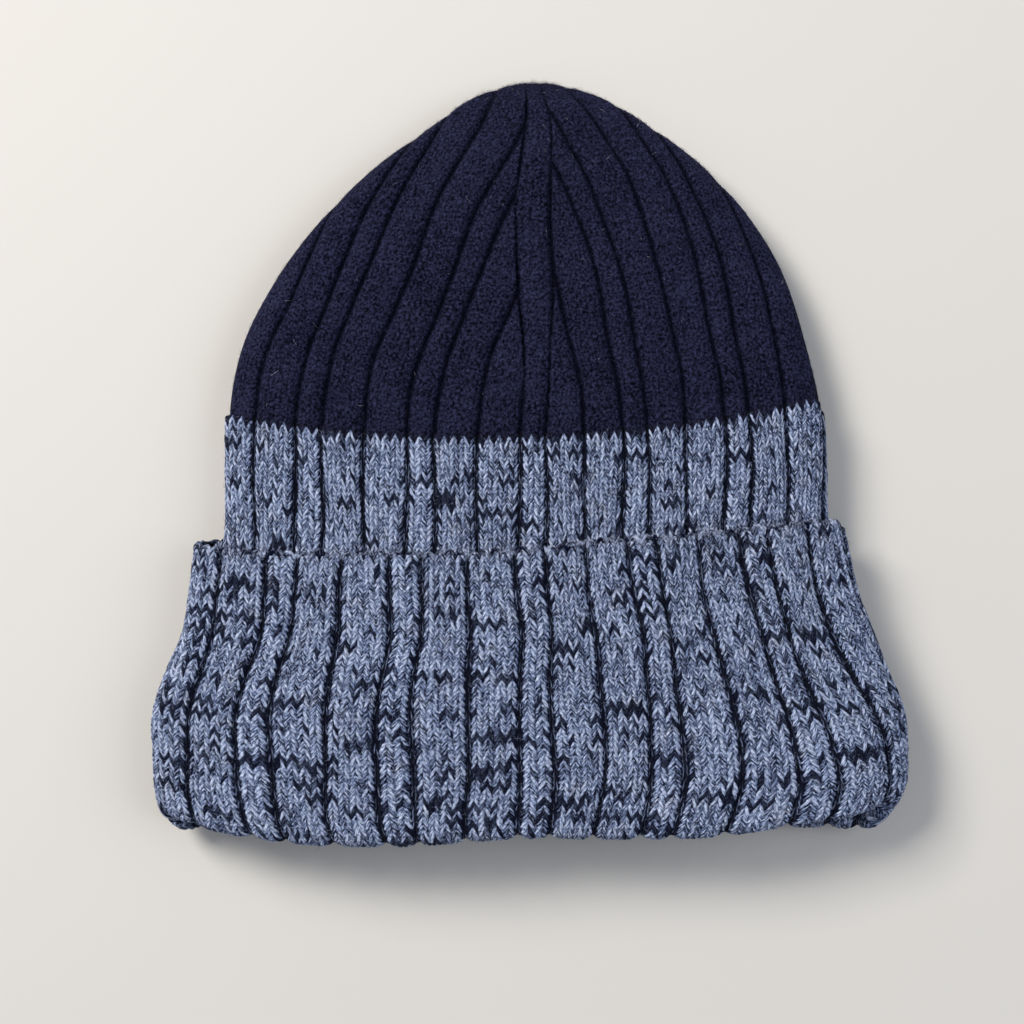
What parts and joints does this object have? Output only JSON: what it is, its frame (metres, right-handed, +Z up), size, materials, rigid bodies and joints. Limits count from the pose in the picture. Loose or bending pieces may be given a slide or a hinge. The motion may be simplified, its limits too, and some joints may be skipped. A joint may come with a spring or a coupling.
{
  "type": "knit beanie",
  "caption": "Ribbed knit beanie lying flat, with a rounded navy crown, a marl body and a deep turned-up cuff that lifts at the front.",
  "frame": {"origin": "on the table under the middle of the flat-lying hat", "axes": "+X across the hat, +Y from the hem to the crown tip, +Z up from the table through the flattened layers"},
  "size_m": [0.2192, 0.22, 0.0246],
  "materials": {
    "navy_knit": "soft brushed rib knit",
    "marl_knit": "two-ply light-blue and navy marl rib knit",
    "marl_edge": "cast-on edge of marl yarn",
    "closing_yarn": "navy yarn",
    "seam_yarn": "linking yarn"
  },
  "bodies": {
    "hat": {"crown_knit": "navy_knit", "body_band": "marl_knit", "under_cuff_band": "marl_knit", "cuff_back": "marl_knit", "cuff_side_left": "marl_knit", "cuff_side_right": "marl_knit", "hem_fold_front": "marl_knit", "hem_fold_back": "marl_knit", "cuff_edge_back": "marl_edge", "crown_draw_yarn": "closing_yarn", "back_seam": "seam_yarn"},
    "cuff_flap": {"cuff_front": "marl_knit", "cuff_edge_front": "marl_edge"}
  },
  "joints": [
    {"name": "cuff_lift", "type": "hinge", "parent": "hat", "child": "cuff_flap", "pos_m": [0, -0.106, 0.024], "axis": [1, 0, 0], "range_deg": [0, 25]}
  ]
}
